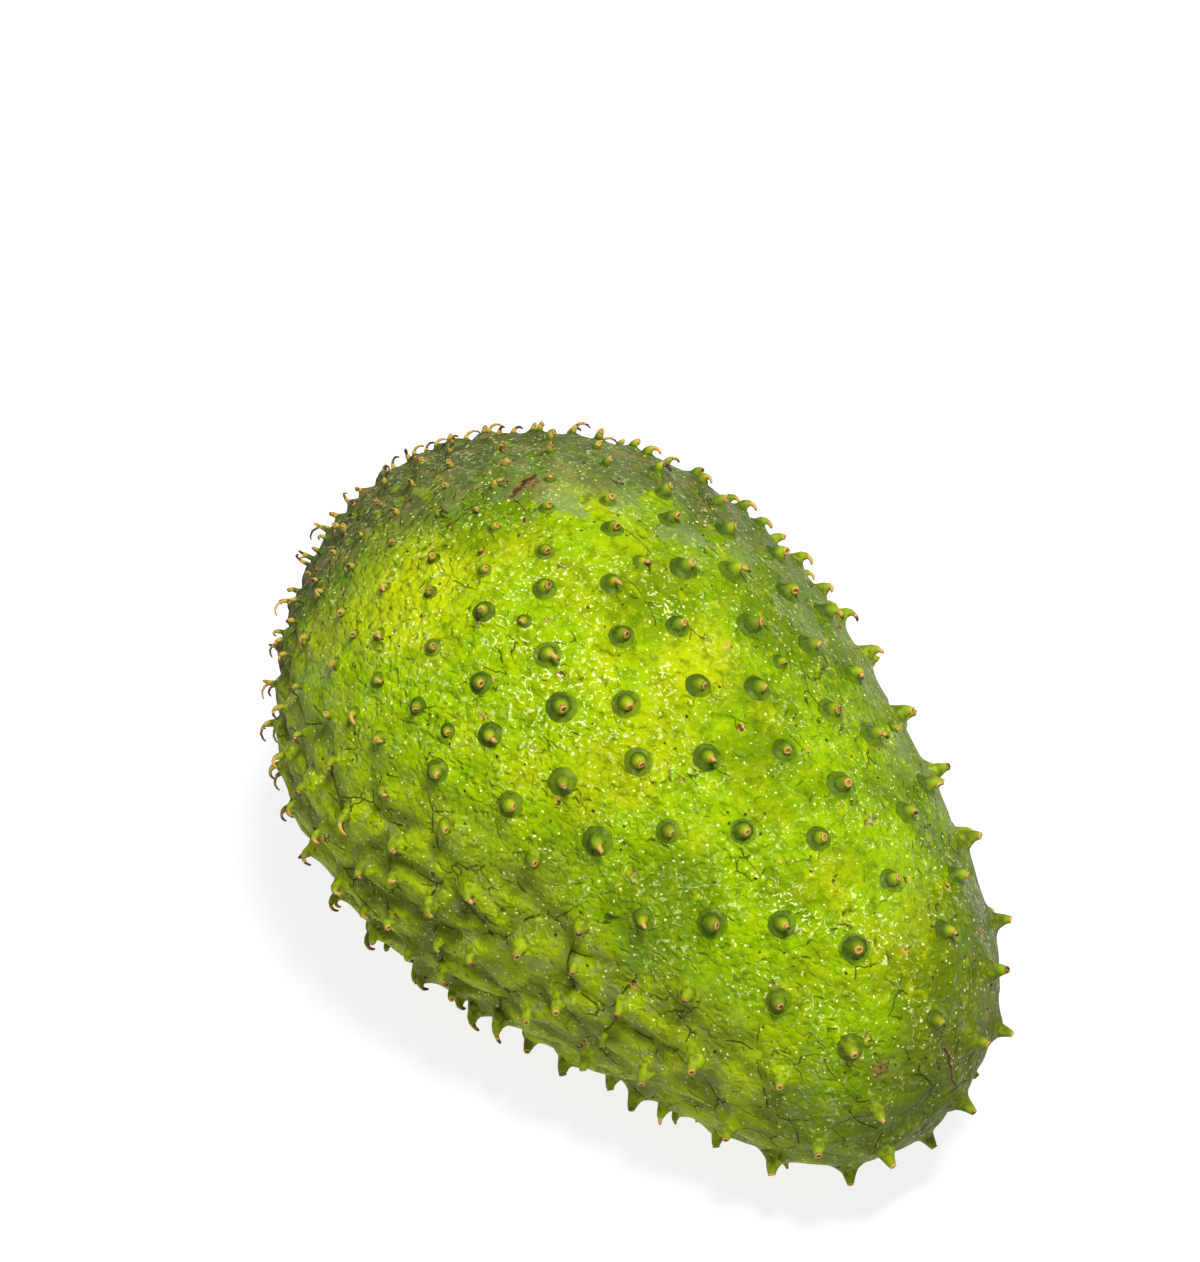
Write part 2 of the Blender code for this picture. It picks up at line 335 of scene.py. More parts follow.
def suit_place(spine, luck):
    """Gives a spine the hook, length and girth usual for its place, and settles whether it has broken."""
    along = spine.direction[0]
    flank = smooth(*FLANK_START, spine.normal.z)
    crowd = smooth(*CROWD_START, along)
    early = smooth(0.92, 0.55, spine.normal.z) * smooth(0.97, 0.80, along)
    spine.hook = min(1.0, spine.hook + FLANK_HOOK * early)
    spine.hook *= 1 - (1 - BLUNT_HOOK) * flank * smooth(-0.15, 0.35, along)
    spine.curl = (LEAST_CURL + (1 - LEAST_CURL) * 2 * (luck * 7 % 1)) * (1 + CROWD_CURL * crowd)
    if not spine.pressed:
        spine.grown *= 1 + FLANK_GROWTH * flank
    spine.wide *= (1 - FLANK_SLIMNESS * flank) * (1 - CROWD_SLIMNESS * crowd)
    blunt = smooth(-0.30, 0.30, along)
    spine.curl *= (1 - SHORT_BEAK * blunt) * (1 + FLANK_CURL * flank * smooth(0.1, -0.3, along))
    share = np.interp(spine.normal.z, *BROKEN_SHARE) * (1 - 0.7 * crowd) + BLOSSOM_BROKEN * blunt * flank
    spine.broken = luck < share and not spine.pressed
    spine.place += spine.normal * (0.0 if spine.pressed else FLANK_LIFT * flank)
    spine.luck = luck
    spine.flank = flank
    spine.crowd = crowd


def standing_spines(context):
    """Every spine of the fruit, with its luck, which settles whether its tip has broken off."""
    scene = context.scene
    fruit = Fruit(scene.soursop_body)
    spines = scene.soursop_spines
    sites = spine_sites(fruit, spines)
    sites += filler_sites(fruit, spines, sites)
    stalk = Vector(fruit.place(np.array([-1.0, 0, 0])))
    draw = random.Random(spines.seed + 2)
    standing = []
    for site in sites:
        spine = stand_spine(fruit, spines, *site)
        luck = draw.random()
        if spine and (spine.place - stalk).length > FUNNEL_RADIUS + STUB_CLEARANCE * spine.size:
            suit_place(spine, luck)
            standing.append(spine)
    return fruit, standing


# ---------------------------------------------------------------- shader arithmetic


class Level:
    """A number in a material, so that shader maths reads as plain arithmetic."""

    def __init__(self, shader, socket):
        self.shader = shader
        self.socket = socket

    def math(self, operation, *others, swapped=False):
        terms = [self, *others]
        if swapped:
            terms.reverse()
        made = self.shader.node("ShaderNodeMath", {"operation": operation}, dict(enumerate(terms)))
        return Level(self.shader, made.outputs[0])

    def __add__(self, other):
        return self.math("ADD", other)

    def __radd__(self, other):
        return self.math("ADD", other)

    def __sub__(self, other):
        return self.math("SUBTRACT", other)

    def __rsub__(self, other):
        return self.math("SUBTRACT", other, swapped=True)

    def __mul__(self, other):
        return self.math("MULTIPLY", other)

    def __rmul__(self, other):
        return self.math("MULTIPLY", other)

    def __truediv__(self, other):
        return self.math("DIVIDE", other)

    def __pow__(self, other):
        return self.math("POWER", other)

    def greatest(self, other):
        return self.math("MAXIMUM", other)

    def step(self, low, high):
        """0 at low and 1 at high, with an even S between them. Low may be the higher number."""
        inputs = {"Value": self, "From Min": low, "From Max": high, "To Min": 0.0, "To Max": 1.0}
        settings = {"interpolation_type": "SMOOTHSTEP"}
        return Level(self.shader, self.shader.node("ShaderNodeMapRange", settings, inputs).outputs[0])


class Shader:
    """A material with one Principled surface, and short ways to the nodes that feed it."""

    def __init__(self, name):
        self.material = bpy.data.materials.new(name)
        self.material.use_nodes = True
        self.tree = self.material.node_tree
        self.surface = self.tree.nodes["Principled BSDF"]
        self.object_place = self.node("ShaderNodeTexCoord").outputs["Object"]

    def connect(self, value, socket):
        if isinstance(value, Level):
            value = value.socket
        if isinstance(value, bpy.types.NodeSocket):
            self.tree.links.new(value, socket)
        elif isinstance(socket.default_value, float):
            socket.default_value = value
        else:
            socket.default_value = tuple(value) + (1.0,) * (len(socket.default_value) - len(value))

    def node(self, kind, settings=None, inputs=None):
        """A node of that kind: its settings are set first, then its sockets, by name or by number."""
        made = self.tree.nodes.new(kind)
        for name, value in (settings or {}).items():
            setattr(made, name, value)
        for name, value in (inputs or {}).items():
            self.connect(value, made.inputs[name])
        return made

    def set(self, **inputs):
        """Sets or links the surface's own sockets, whose names are written with underscores."""
        for name, value in inputs.items():
            self.connect(value, self.surface.inputs[name.replace("_", " ").title()])

    def attribute(self, name):
        """An attribute of the mesh, as a number and as a vector."""
        made = self.node("ShaderNodeAttribute", {"attribute_name": name})
        return Level(self, made.outputs["Fac"]), made.outputs["Vector"]

    def parts(self, vector):
        made = self.node("ShaderNodeSeparateXYZ", None, {0: vector})
        return [Level(self, socket) for socket in made.outputs]

    def stretched(self, turn, scale):
        """Object coordinates turned about Y and then scaled along each axis."""
        settings = {"vector_type": "TEXTURE"}
        inputs = {"Vector": self.object_place, "Rotation": (0.0, turn, 0.0), "Scale": scale}
        return self.node("ShaderNodeMapping", settings, inputs).outputs[0]

    def clouds(self, size, detail=2.0, roughness=0.5, warp=0.0, vector=None, offset=None):
        """Noise whose lumps are about that size in metres, mostly between 0.3 and 0.7."""
        vector = vector or self.object_place
        if offset:
            inputs = {0: vector, 1: (offset, 0.37 * offset, -0.61 * offset)}
            vector = self.node("ShaderNodeVectorMath", {"operation": "ADD"}, inputs).outputs[0]
        inputs = {
            "Vector": vector,
            "Scale": 1.0 / size,
            "Detail": detail,
            "Roughness": roughness,
            "Distortion": warp,
        }
        return Level(self, self.node("ShaderNodeTexNoise", None, inputs).outputs[0])

    def grains(self, size, feature="F1", vector=None, softness=0.6):
        """The distance from the nearest of scattered points, which lie about that size apart."""
        inputs = {"Vector": vector or self.object_place, "Scale": 1.0 / size, "Randomness": 1.0}
        if feature == "SMOOTH_F1":
            inputs["Smoothness"] = softness
        made = self.node("ShaderNodeTexVoronoi", {"feature": feature}, inputs)
        return Level(self, made.outputs["Distance"]), made.outputs

    def warped(self, size, reach, vector=None):
        """Coordinates pushed about by noise, so that lines wander."""
        inputs = {"Vector": vector or self.object_place, "Scale": 1.0 / size, "Detail": 2.0}
        push = self.node("ShaderNodeTexNoise", None, inputs).outputs["Color"]
        centred = self.node(
            "ShaderNodeVectorMath", {"operation": "SUBTRACT"}, {0: push, 1: (0.5, 0.5, 0.5)}
        ).outputs[0]
        scaled = self.node(
            "ShaderNodeVectorMath", {"operation": "SCALE"}, {0: centred, "Scale": reach}
        ).outputs[0]
        inputs = {0: vector or self.object_place, 1: scaled}
        return self.node("ShaderNodeVectorMath", {"operation": "ADD"}, inputs).outputs[0]

    def patch(self, place, reach):
        """A spot of ragged outline round a place: 1 in its middle and 0 beyond its reach."""
        away = self.node("ShaderNodeVectorMath", {"operation": "DISTANCE"}, {0: self.object_place, 1: place})
        ragged = Level(self, away.outputs["Value"]) / reach + (self.clouds(0.012, detail=3.0) - 0.5) * 1.2
        return ragged.step(1.1, 0.35)

    def off_line(self, places, vector):
        """The distance from a line of straight stretches through those places."""
        nearest = None
        for start, end in zip(places, places[1:]):
            way = Vector(end) - Vector(start)
            gap = self.node("ShaderNodeVectorMath", {"operation": "SUBTRACT"}, {0: vector, 1: start})
            dot = self.node("ShaderNodeVectorMath", {"operation": "DOT_PRODUCT"}, {0: gap.outputs[0], 1: way})
            share = Level(self, dot.outputs["Value"]) / way.length_squared
            share = share.math("MAXIMUM", 0.0).math("MINIMUM", 1.0)
            foot = self.node("ShaderNodeVectorMath", {"operation": "SCALE"}, {0: way, "Scale": share})
            away = {0: gap.outputs[0], 1: foot.outputs[0]}
            away = self.node("ShaderNodeVectorMath", {"operation": "DISTANCE"}, away)
            away = Level(self, away.outputs["Value"])
            nearest = nearest.math("MINIMUM", away) if nearest else away
        return nearest

    def mix(self, share, first, second):
        """A colour between first and second."""
        settings = {"data_type": "RGBA"}
        made = self.node("ShaderNodeMix", settings, {0: share, 6: first, 7: second})
        return made.outputs[2]

    def bump(self, height, reach, below=None, strength=1.0):
        """A normal from a height that is a number of reaches, on top of the normal below."""
        inputs = {"Height": height, "Distance": reach, "Strength": strength}
        if below:
            inputs["Normal"] = below
        return self.node("ShaderNodeBump", None, inputs).outputs[0]


# ---------------------------------------------------------------- mesh helpers


def finished_object(name, mesh, shader):
    """An object at the origin for a mesh, with its material, riding on the fruit."""
    piece = bpy.data.objects.new(name, mesh)
    bpy.context.scene.collection.objects.link(piece)
    mesh.materials.append(shader.material)
    mesh.shade_smooth()
    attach(piece, "root")
    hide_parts("soursop")
    return piece


def store(mesh, name, values):
    """Keeps a number or a vector for each vertex, for the material to read."""
    values = np.asarray(values, np.float32)
    if values.ndim == 1:
        mesh.attributes.new(name, "FLOAT", "POINT").data.foreach_set("value", values)
    else:
        mesh.attributes.new(name, "FLOAT_VECTOR", "POINT").data.foreach_set("vector", values.ravel())


def turned(profile, sides):
    """A closed mesh turned from a profile of (radius, height) points that starts and ends on the axis."""
    bm = bmesh.new()
    verts = [bm.verts.new((radius, 0.0, height)) for radius, height in profile]
    edges = [bm.edges.new(pair) for pair in zip(verts, verts[1:])]
    bmesh.ops.spin(
        bm,
        geom=verts + edges,
        cent=(0, 0, 0),
        axis=(0, 0, 1),
        angle=2 * math.pi,
        steps=sides,
        use_merge=True,
    )
    bmesh.ops.remove_doubles(bm, verts=bm.verts[:], dist=1e-7)
    bmesh.ops.recalc_face_normals(bm, faces=bm.faces[:])
    mesh = bpy.data.meshes.new("turned")
    bm.to_mesh(mesh)
    bm.free()
    return mesh


def coordinates(mesh):
    points = np.zeros(3 * len(mesh.vertices))
    mesh.vertices.foreach_get("co", points)
    return points.reshape(-1, 3)


def repeated(name, templates, points):
    """One mesh of many copies of small templates, with every copy's points in their final places."""
    bm = bmesh.new()
    for template in templates:
        bm.from_mesh(template)
    mesh = bpy.data.meshes.new(name)
    bm.to_mesh(mesh)
    bm.free()
    mesh.vertices.foreach_set("co", np.concatenate(points).ravel())
    mesh.update()
    return mesh


# ---------------------------------------------------------------- the skin

MOUND_HEIGHT = 0.0006
MOUND_REACH = 0.0060
FLARE_HEIGHT = 0.0017
FLARE_REACH = 0.0046  # at full girth
FIN_STRETCH = 0.3  # how much further the flare runs towards the stalk on the flanks
FLANK_FLARE = 0.8  # how much higher the flanks' flares are
FLANK_REACH = 0.30  # and how much wider
PAD_SWELL = 0.0011
PAD_SHIFT = 0.30  # a pad's middle lies this share of the spacing ahead of its spine
PAD_SQUEEZE = 0.85  # pads are longer than wide
SEAM_DEPTH = 0.00025
SEAM_WIDTH = 0.0009
SEAM_WANDER = 0.0019
TOP_RELIEF = 0.22  # of the flanks' relief that is left on the swollen upper side
LUMP_HEIGHT = 0.0006
LUMP_SIZE = 0.024
DIMPLE_HEIGHT = 0.00028
DIMPLE_SIZE = 0.0085
WRINKLE_HEIGHT = 0.00013
WRINKLE_SIZE = 0.0040
KNOB_HEIGHT = 0.00065
KNOB_SIZE = 0.0052
AWAY_FROM_CAMERA = np.array([-0.714, 0.700, 0.0])  # the level way away from the camera, towards which the film's painted sheen and the darker skin round the stalk lean


def ball(halvings):
    """A ball of even square faces, made from a cube."""
    bm = bmesh.new()
    bmesh.ops.create_cube(bm, size=2.0)
    for _ in range(halvings):
        bmesh.ops.subdivide_edges(bm, edges=bm.edges[:], cuts=1, use_grid_fill=True)
    mesh = bpy.data.meshes.new("skin")
    bm.to_mesh(mesh)
    bm.free()
    return mesh, unit(np.tan(coordinates(mesh) * math.pi / 4))


def lumps(points, size, seed):
    """Smooth noise at each point, from about -1 to 1."""
    shift = Vector((seed, 2.3 * seed, -1.7 * seed))
    return np.array([noise.noise(Vector(point) / size + shift) for point in points])


def nearest_two(centres, points):
    """For each point, its nearest two centres: their numbers and distances."""
    tree = kdtree.KDTree(len(centres))
    for number, centre in enumerate(centres):
        tree.insert(centre, number)
    tree.balance()
    found = [tree.find_n(point, 2) for point in points]
    numbers = np.array([[near[1] for near in pair] for pair in found])
    distances = np.array([[near[2] for near in pair] for pair in found])
    return numbers, distances


def pad_seams(fruit, spines, standing, own):
    """How far each point lies from the seam round its pad, and the same with a sign that turns there."""
    squeeze = np.array([PAD_SQUEEZE, 1.0, 1.0])
    centres = []
    for spine in standing:
        ahead = PAD_SHIFT * spacing(spine.direction[0], spines)
        centre = np.array(spine.place + spine.forward * ahead) - fruit.centre
        centres.append(centre @ fruit.pitch * squeeze)
    centres = np.array(centres)
    wander = np.stack([lumps(own, 0.006, seed) for seed in (21, 22, 23)], axis=1)
    numbers, distances = nearest_two(centres, (own + SEAM_WANDER * wander) * squeeze)
    apart = np.linalg.norm(centres[numbers[:, 0]] - centres[numbers[:, 1]], axis=1)
    seam = (distances[:, 1] ** 2 - distances[:, 0] ** 2) / (2 * apart)
    draw = random.Random(spines.seed + 3)
    pad_luck = np.array([draw.random() for _ in centres])[numbers[:, 0]]
    return seam, seam * np.sign(numbers[:, 1] - numbers[:, 0]), apart, pad_luck


def skin_relief(fruit, spines, standing, directions):
    """How far the skin stands out at each direction, and what its material needs to know there."""
    here = fruit.surface(directions)
    own = fruit.own(directions)
    roots = np.array([spine.place for spine in standing])
    numbers, distances = nearest_two(roots, here.place)
    nearest = numbers[:, 0]
    wide = np.array([spine.wide for spine in standing])[nearest]
    radii = spines.base_radius * wide
    away = here.place - roots[nearest]
    forward = np.array([spine.forward for spine in standing])[nearest]
    normal = np.array([spine.normal for spine in standing])[nearest]
    luck = np.array([spine.luck for spine in standing])[nearest]
    around = [(away * forward).sum(1) / radii, (away * np.cross(normal, forward)).sum(1) / radii, luck]
    near = distances[:, 0]
    seam, seam_side, apart, pad_luck = pad_seams(fruit, spines, standing, own)
    stalk = fruit.place(np.array([-1.0, 0, 0]))
    from_stalk = np.linalg.norm(here.place - stalk, axis=1)
    flank = smooth(0.68, 0.12, here.normal[:, 2] + 0.15 * lumps(own, 0.016, 6))
    flank = np.maximum(flank, smooth(0.055, 0.030, from_stalk))
    carved = TOP_RELIEF + (1 - TOP_RELIEF) * flank * smooth(0.95, 0.2, directions[:, 0])
    crown = smooth(0, 0.8, 2 * seam / apart) - 0.5
    relief = MOUND_HEIGHT * np.exp(-((near / MOUND_REACH) ** 2))
    behind = np.where(around[0] < 0, around[0] / (1 + FIN_STRETCH * flank), around[0])
    broad = np.sqrt(wide)
    flare = np.hypot(behind, around[1]) * radii / (FLARE_REACH * broad * (1 + FLANK_REACH * flank))
    relief += FLARE_HEIGHT * broad * (1 + FLANK_FLARE * flank) * np.clip(1 - flare, 0, 1) ** 2
    relief += PAD_SWELL * crown * carved
    relief -= SEAM_DEPTH * np.exp(-((seam / SEAM_WIDTH) ** 2)) * carved
    relief += LUMP_HEIGHT * lumps(here.place, LUMP_SIZE, 1)
    open_skin = smooth(0.8, 1.5, near / radii)
    relief += DIMPLE_HEIGHT * lumps(own, DIMPLE_SIZE, 4) * open_skin
    relief += WRINKLE_HEIGHT * lumps(own * [0.5, 1, 1], WRINKLE_SIZE, 2) * open_skin
    knob = lumps(own * [0.6, 1, 1], KNOB_SIZE, 8)
    relief += KNOB_HEIGHT * knob * open_skin * flank
    funnel = 0.5 * (1 + np.cos(math.pi * np.clip(from_stalk / FUNNEL_RADIUS, 0, 1)))
    relief -= FUNNEL_DEPTH * funnel
    facts = {
        "around": np.stack(around, axis=1),
        "near": near / radii,
        "seam": seam * 1000,
        "seam_side": seam_side * 1000,
        "from_stalk": from_stalk * 1000,
        "flank": flank,
        "side": 1 - here.normal[:, 2],
        "pad": pad_luck,
        "crown": crown + 0.5,
        "knob": knob,
        "behind": here.normal @ AWAY_FROM_CAMERA,
    }
    return here.place + here.normal * relief[:, None], facts


def skin_piece(context):
    scene = context.scene
    fruit, standing = standing_spines(context)
    mesh, directions = ball(scene.soursop_body.divisions)
    points, facts = skin_relief(fruit, scene.soursop_spines, standing, directions)
    points[:, 2] = np.maximum(points[:, 2], 0.0)
    mesh.vertices.foreach_set("co", points.ravel())
    mesh.update()
    for name, values in facts.items():
        store(mesh, name, values)
    return finished_object("skin", mesh, skin_material(scene.soursop_finish, scene.soursop_body))


RIPE_PATCHES = (  # (place, reach) in metres
    ((-0.032, -0.031, 0.112), 0.020),
    ((0.026, 0.000, 0.110), 0.013),
)
TEARS = (  # (places along it, half its width) in metres
    (((0.1054, -0.0053, 0.0541), (0.1068, -0.0043, 0.0493), (0.1074, -0.0028, 0.0400)), 0.00045),
    (((-0.0335, -0.0008, 0.1214), (-0.0356, 0.0048, 0.1210), (-0.0355, 0.0085, 0.1207)), 0.00075),
    (((-0.0335, -0.0008, 0.1214), (-0.0263, -0.0028, 0.1220), (-0.0230, -0.0092, 0.1215)), 0.00028),
)
SCABS = (((0.1016, -0.0206, 0.0547), 0.0036), ((-0.0340, 0.0050, 0.1210), 0.0030))
# Zones of painted highlight, where more painted glints lie on the wrinkle crests.
HIGHLIGHT_ZONES = (
    ((0.009, -0.019, 0.113), 0.030),
    ((0.079, -0.015, 0.078), 0.020),
)
UNRIPE_PATCHES = (
    ((0.024, 0.030, 0.102), 0.022),
    ((0.050, -0.040, 0.080), 0.018),
    ((0.104, -0.022, 0.036), 0.034),
    ((-0.036, -0.004, 0.118), 0.018),
    ((0.008, 0.001, 0.117), 0.012),
)


def skin_material(finish, body):
    shader = Shader("waxy_skin")
    around = shader.attribute("around")[1]
    near = shader.attribute("near")[0]
    seam = shader.attribute("seam")[0]
    seam_side = shader.attribute("seam_side")[0]
    from_stalk = shader.attribute("from_stalk")[0]
    flank = shader.attribute("flank")[0]
    side = shader.attribute("side")[0]
    pad = shader.attribute("pad")[0]
    crown = shader.attribute("crown")[0]
    behind = shader.attribute("behind")[0]
    knob = shader.attribute("knob")[0]
    forward, sideways = shader.parts(shader.object_place)[:2]
    ahead, aside, luck = shader.parts(around)
    streaky = shader.stretched(body.rest_pitch, (2.4, 1.0, 1.0))

    # The disc round a spine, exact at any distance: the mesh only says which way its middle lies.
    radius = (ahead * ahead + aside * aside) ** 0.5
    radius = radius.greatest(near - 0.5)
    ragged = radius + (shader.clouds(0.0016, detail=2.0) - 0.5) * 0.22 + flank * 0.25
    disc = ragged.step(1.06, 0.94) * (1.0 - 0.75 * flank)
    # Painted shadow: a dark crescent at the disc's edge on the stalk side, stronger on the flanks.
    rim_shadow = ragged.step(0.90, 0.99) * ragged.step(1.08, 1.00) * ((luck * 5.0).math("FRACT") - ahead).step(0.7, 1.5)

    # Clouds of colour.
    broad = shader.clouds(0.038, detail=3.0, warp=0.3)
    middling = shader.clouds(0.011, detail=3.0, offset=2.0)
    fine = shader.clouds(0.0028, detail=3.0, offset=4.0)
    deep = (broad * 0.5 + middling * 0.5).step(0.45, 0.62)
    ripe = (shader.clouds(0.046, detail=2.0, offset=7.0) * 0.65 + middling * 0.35).step(0.51, 0.62) * 0.5
    skin = shader.mix(deep * 0.85, finish.green, finish.deep_green)
    for place, reach in RIPE_PATCHES:
        ripe = ripe.greatest(shader.patch(place, reach) * 0.7)
    skin = shader.mix(ripe, skin, finish.yellow)
    # Painted light on the pads' raised crowns and painted shade between them on the flanks, following the
    # relief.
    crown_light = (0.25 + crown * 0.5 + knob * 0.9 + (middling - 0.5) * 0.5 + (pad - 0.5) * 0.3).step(0.20, 0.80)
    pads = shader.mix(crown_light, finish.olive, finish.pad)
    skin = shader.mix(flank * 0.80, skin, pads)
    for place, reach in UNRIPE_PATCHES:
        skin = shader.mix(shader.patch(place, reach) * 0.8, skin, finish.deep_green)
    # Painted shade on the +Y side, which faces away from the camera.
    far_shade = sideways.step(0.004, 0.042) * 0.6
    skin = shader.mix(far_shade, skin, finish.far_side)
    # Painted shade: the blossom end is made darker.
    apex_shade = (forward + sideways * 0.5 + (middling - 0.5) * 0.03).step(0.078, 0.104)
    skin = shader.mix(apex_shade * 0.82, skin, finish.apex_shade)
    calm = 1.0 - 0.45 * side.step(0.25, 0.60)
    skin = shader.mix(fine.step(0.54, 0.68) * calm * 0.40, skin, finish.yellow)
    skin = shader.mix(fine.step(0.48, 0.34) * calm * 0.55, skin, finish.deep_green)

    # Flecks of two kinds on the flanks.
    flecks = shader.clouds(0.0055, detail=3.0, roughness=0.6, warp=0.6, offset=27.0)
    skin = shader.mix(flecks.step(0.44, 0.38) * flank * 0.55, skin, finish.far_side)
    skin = shader.mix(flecks.step(0.56, 0.61) * flank * 0.55, skin, finish.film)

    # The waxy bloom on the flanks, pad by pad, which is partly a painted sheen of grazing reflection, most of it
    # on the side turned away from the camera.
    streaks = shader.clouds(0.0060, detail=3.0, offset=19.0)
    turned_away = sideways.step(-0.045, 0.030)
    bloom_and_sheen = (side + (pad - 0.5) * 1.2).step(0.62, 0.92) * (0.65 + 0.35 * streaks.step(0.40, 0.60))
    bloom_and_sheen = bloom_and_sheen * (0.15 + 0.85 * turned_away) * (1.0 - 0.8 * apex_shade) * (1.0 - far_shade)
    # Waxy film in the valleys between the pads, which also darkens them as painted shade.
    bloom_and_sheen = bloom_and_sheen.greatest(flank * (1.0 - crown_light) * middling.step(0.46, 0.56) * 0.55)
    skin = shader.mix(bloom_and_sheen * 0.60, skin, finish.bloom_and_sheen)
    # Flakes of waxy film, pad by pad, on the side turned away from the camera, which also stand in for a painted
    # grazing reflection there.
    facing = (ahead * 0.8 + aside * 0.6) / radius.greatest(0.3)
    film_sheen = (pad * 0.55 + facing * 0.25 + (fine - 0.5) * 0.20).step(0.25, 0.29)
    edge = (behind + (pad - 0.5) * 0.25 + (middling - 0.5) * 0.3).step(0.06, 0.11)
    veins = shader.clouds(0.0018, detail=3.0, warp=0.8, offset=29.0).step(0.40, 0.56)
    border = film_sheen * (1.0 - film_sheen) * edge * 4.0
    film_sheen = film_sheen * edge * (0.35 + 0.35 * streaks.step(0.42, 0.58) + 0.30 * veins)
    skin = shader.mix(film_sheen * (1.0 - apex_shade) * 0.85, skin, finish.film)
    skin = shader.mix(border * 0.6, skin, finish.crease)
    bloom_and_sheen = bloom_and_sheen.greatest(film_sheen)
    shoulder = (from_stalk + (middling - 0.5) * 40.0).step(75.0, 54.0) * (0.2 + 0.8 * behind.step(-0.15, 0.15))
    crowded = (behind + (middling - 0.5) * 0.5).step(0.03, 0.28) * from_stalk.step(125.0, 88.0)
    shoulder = shoulder.greatest(crowded * 0.8) * fine.step(0.30, 0.48)
    rusty = shader.clouds(0.006, detail=4.0, roughness=0.6, offset=15.0).step(0.52, 0.64)
    skin = shader.mix(shoulder * 0.90, skin, shader.mix(rusty * 0.7, finish.shoulder, finish.cork))

    # Seams between the pads, darkest on the flanks, and a few hair-thin cracks.
    seam_line = seam_side.math("ABSOLUTE") + (shader.clouds(0.0015, offset=3.0) - 0.5) * 0.35
    seam_line = seam_line.step(0.26, 0.06) * seam.step(1.1, 0.7)
    seam_line = seam_line * shader.clouds(0.007, offset=5.0).step(0.46, 0.54) * flank.step(0.1, 0.6)
    cracked = shader.warped(0.004, 0.004, vector=streaky)
    crack = shader.grains(0.0090, "DISTANCE_TO_EDGE", vector=cracked)[0].step(0.016, 0.006)
    crack = crack * (shader.clouds(0.012, detail=3.0, offset=9.0) + 0.06 * flank).step(0.59, 0.63)
    spokes = aside.math("ARCTAN2", ahead) * 2.0 + luck * 40.0 + (shader.clouds(0.003) - 0.5) * 4.0
    spokes = spokes.math("SINE").math("ABSOLUTE").step(0.09, 0.03)
    spokes = spokes * radius.step(0.95, 1.05) * near.step(2.2, 1.4)
    spokes = spokes * (luck * 31.0).math("FRACT").step(0.55, 0.6) * shader.clouds(0.0035).step(0.45, 0.55)
    lines = (seam_line * 0.85).greatest(crack * 0.75).greatest(spokes * 0.75)
    skin = shader.mix(lines, skin, finish.crease)

    # Pale pores, which also serve as painted glints, black specks and corky scabs.
    pores, cell = shader.grains(0.0016, vector=shader.warped(0.0012, 0.0010))
    chosen = shader.parts(cell["Color"])[0]
    pore_and_glint = pores.step(0.19, 0.13) * chosen.step(0.25, 0.35) * (1.0 - disc) * (1.0 - 0.6 * bloom_and_sheen)
    skin = shader.mix(pore_and_glint * 0.62, skin, finish.pore_and_glint)
    specks, cell = shader.grains(0.0034)
    chosen = shader.parts(cell["Color"])[1]
    ragged_speck = specks + (shader.clouds(0.0007) - 0.5) * 0.16
    speck = ragged_speck.step(0.115, 0.085) * chosen.step(0.52, 0.56)
    skin = shader.mix(speck * 0.9, skin, finish.brown)
    scab = shader.clouds(0.013, detail=5.0, roughness=0.65, offset=13.0).step(0.68, 0.72)
    scab = scab.greatest(from_stalk.step(16.0, 9.0) * shader.clouds(0.002, detail=3.0).step(0.40, 0.52))
    for place, reach in SCABS:
        scab = scab.greatest(shader.patch(place, reach))
    grain = shader.clouds(0.0011, detail=3.0)
    cork = shader.mix(grain.step(0.42, 0.58), finish.brown, finish.cork)
    skin = shader.mix(scab * 0.8, skin, cork)
    blots, cell = shader.grains(0.0080)
    chosen = shader.parts(cell["Color"])[2]
    ragged_blot = blots + (shader.clouds(0.0014, detail=3.0, offset=17.0) - 0.5) * 0.30
    blot = ragged_blot.step(0.15, 0.11) * (chosen + apex_shade * 0.25).step(0.66, 0.68) * (1.0 - disc)
    skin = shader.mix(blot * 0.85, skin, shader.mix(grain.step(0.46, 0.54), finish.brown, finish.tan))

    # Two old tears: one at the blossom end, and a forked one behind the stalk's crowd.
    torn = shader.warped(0.0030, 0.0024)
    for line, width in TEARS:
        gap = shader.off_line(line, torn) + (shader.clouds(0.0012, detail=3.0, offset=23.0) - 0.5) * width * 1.6
        skin = shader.mix(gap.step(width * 1.9, width * 1.1) * 0.40, skin, finish.cork)
        skin = shader.mix(gap.step(width * 1.1, width * 0.6) * 0.9, skin, finish.brown)

    # Painted glints along the crests of wandering wrinkles, most of them above, and most of all in two painted
    # highlight zones.
    meander = shader.clouds(0.0021, detail=0.5, warp=0.7, offset=1.0) - 0.5
    crest_glint = meander.math("ABSOLUTE").step(0.048, 0.024) * shader.clouds(0.0011, offset=8.0).step(0.50, 0.56)
    crest_glint = crest_glint * shader.clouds(0.010, offset=11.0).step(0.40, 0.58) * (1.0 - flank * 0.4)
    highlight_zone = shader.patch(*HIGHLIGHT_ZONES[0]).greatest(shader.patch(*HIGHLIGHT_ZONES[1]))
    skin = shader.mix(crest_glint * (0.24 + 0.40 * highlight_zone), skin, finish.pore_and_glint)

    # The disc itself: smooth, dull and olive, with painted light towards its blossom-end side.
    disc_light = (shader.clouds(0.0020, detail=2.0) + (ahead + aside * 0.6) * 0.16).step(0.42, 0.72)
    olive = shader.mix(disc_light * 0.55, finish.disc, finish.spine)
    skin = shader.mix(disc * (0.70 + 0.28 * (luck * 13.0).math("FRACT")), skin, olive)
    skin = shader.mix(rim_shadow * (0.35 + 0.35 * flank), skin, finish.crease)

